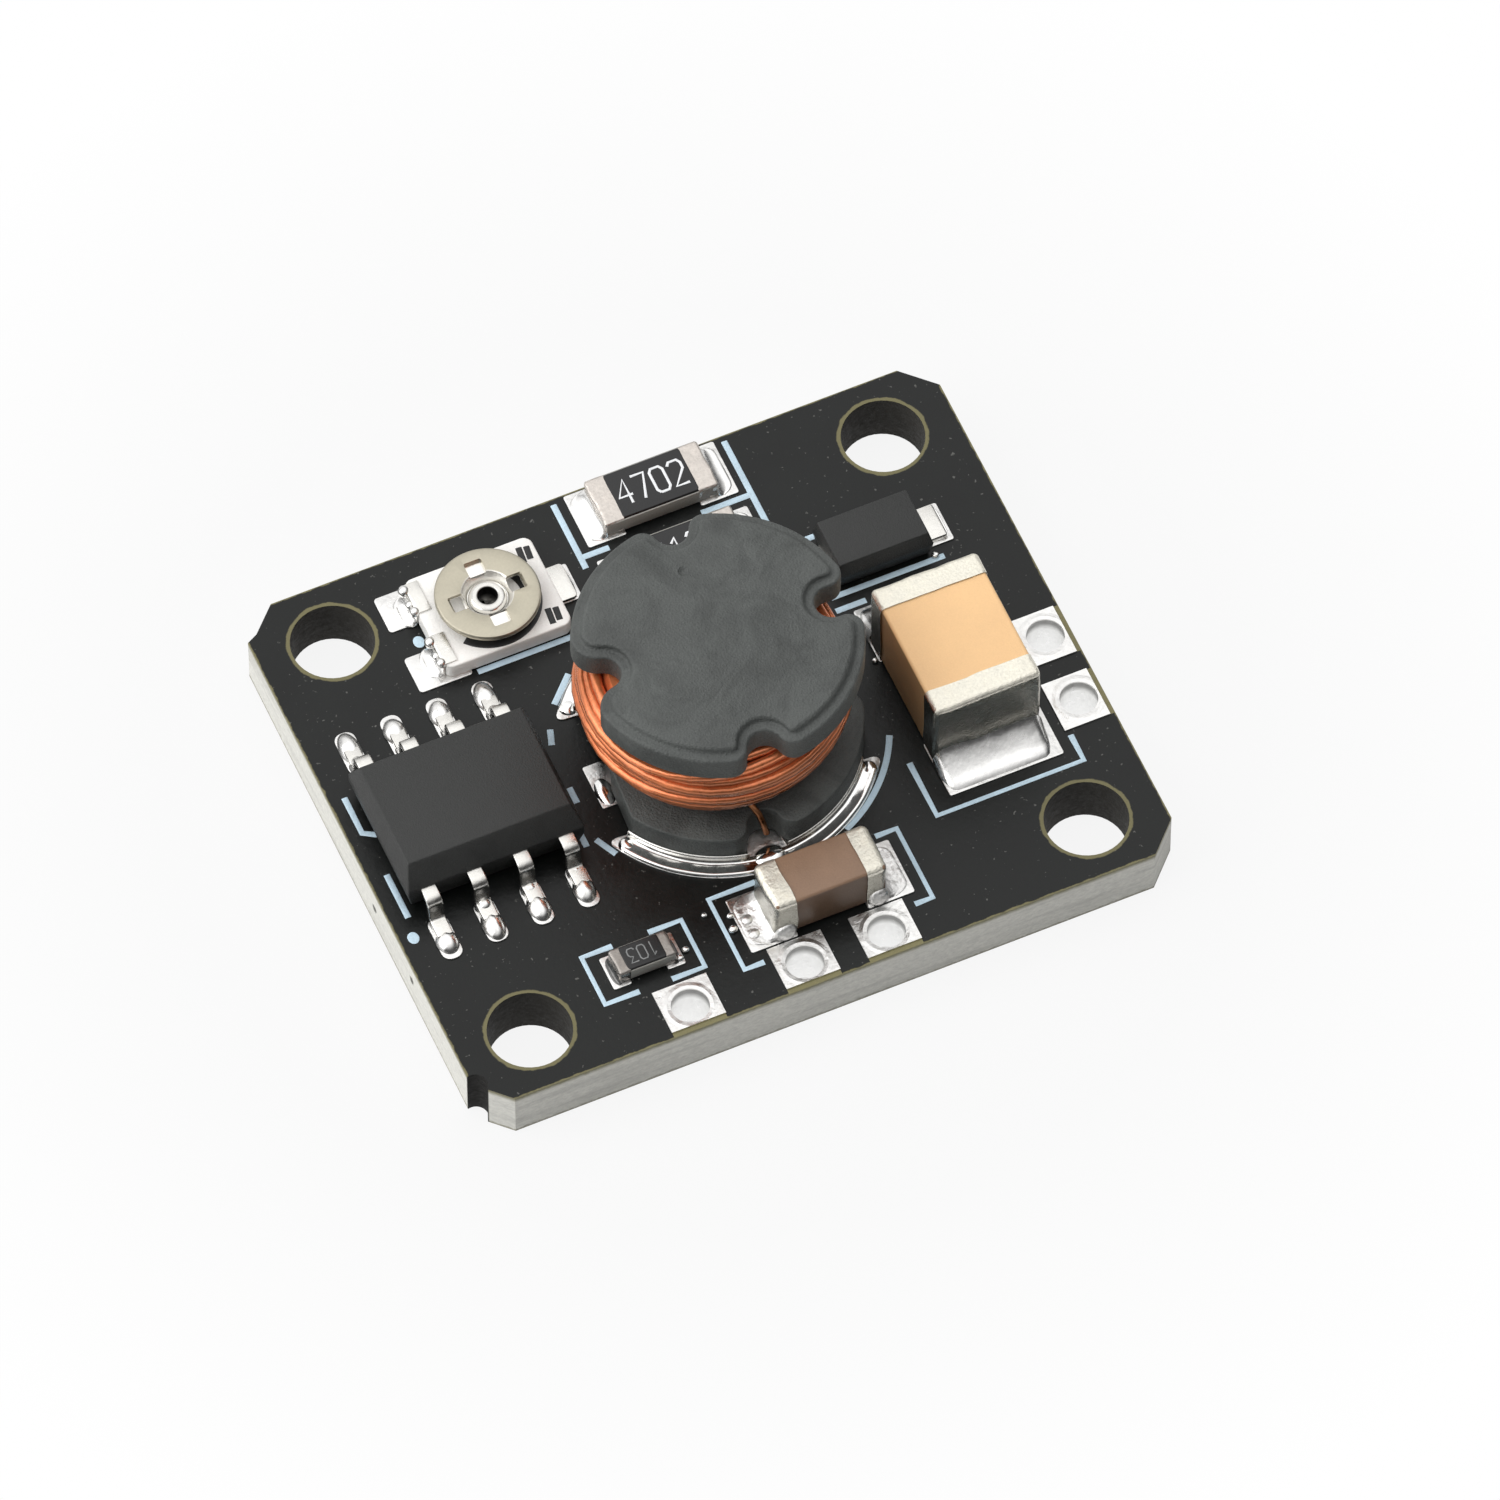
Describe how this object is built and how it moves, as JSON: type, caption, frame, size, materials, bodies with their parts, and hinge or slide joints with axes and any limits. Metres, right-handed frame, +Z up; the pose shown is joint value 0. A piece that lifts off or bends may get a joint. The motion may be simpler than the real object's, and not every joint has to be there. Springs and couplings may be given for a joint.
{
  "type": "boost converter module",
  "caption": "Bare black circuit board that steps up a voltage, with a drum inductor, a chip, a trimmer, capacitors, resistors, a diode and edge wire pads.",
  "frame": {"origin": "centre of the board's underside", "axes": "+X along the board's long edge towards the side wire pads, +Y away from the front wire pads, +Z up"},
  "size_m": [0.0196, 0.0162, 0.0067],
  "materials": {
    "laminate": "satin solder mask on glass laminate",
    "tinned": "tinned copper",
    "solder": "bright solder",
    "moulding": "fine matt moulding",
    "lead_tin": "tinned sheet",
    "white_ceramic": "fired, matt",
    "track": "printed",
    "end_tin": "dull tin plate",
    "nickel": "satin nickel plate",
    "ferrite": "matt sintered",
    "copper": "enamelled wire",
    "tan_ceramic": "fired, satin",
    "brown_ceramic": "fired, satin",
    "coat": "glazed"
  },
  "bodies": {
    "module": {"circuit_board": "laminate", "front_wire_pads": "tinned", "side_wire_pads": "tinned", "component_lands": "tinned", "chip_body": "moulding", "chip_leads": "lead_tin", "chip_solder": "solder", "trimmer_base": "white_ceramic", "trimmer_track": "track", "trimmer_end_terminals": "end_tin", "trimmer_wiper_terminal": "lead_tin", "trimmer_eyelet": "nickel", "trimmer_solder": "solder", "coil_core": "ferrite", "coil_winding": "copper", "coil_tails": "copper", "coil_electrodes": "end_tin", "coil_solder": "solder", "large_capacitor_body": "tan_ceramic", "large_capacitor_ends": "end_tin", "large_capacitor_solder": "solder", "small_capacitor_body": "brown_ceramic", "small_capacitor_ends": "end_tin", "small_capacitor_solder": "solder", "rear_resistor_substrate": "white_ceramic", "rear_resistor_coat": "coat", "rear_resistor_ends": "end_tin", "rear_resistor_solder": "solder", "inner_resistor_substrate": "white_ceramic", "inner_resistor_coat": "coat", "inner_resistor_ends": "end_tin", "inner_resistor_solder": "solder", "front_resistor_substrate": "white_ceramic", "front_resistor_coat": "coat", "front_resistor_ends": "end_tin", "front_resistor_solder": "solder", "diode_body": "moulding", "diode_leads": "lead_tin", "diode_solder": "solder"},
    "rotor": {"trimmer_rotor": "nickel"}
  },
  "joints": [
    {"name": "trimmer_turn", "type": "hinge", "parent": "module", "child": "rotor", "pos_m": [-0.00375, 0.00553, 0.0024], "axis": [0, 0, 1], "range_deg": [-130, 130]}
  ]
}
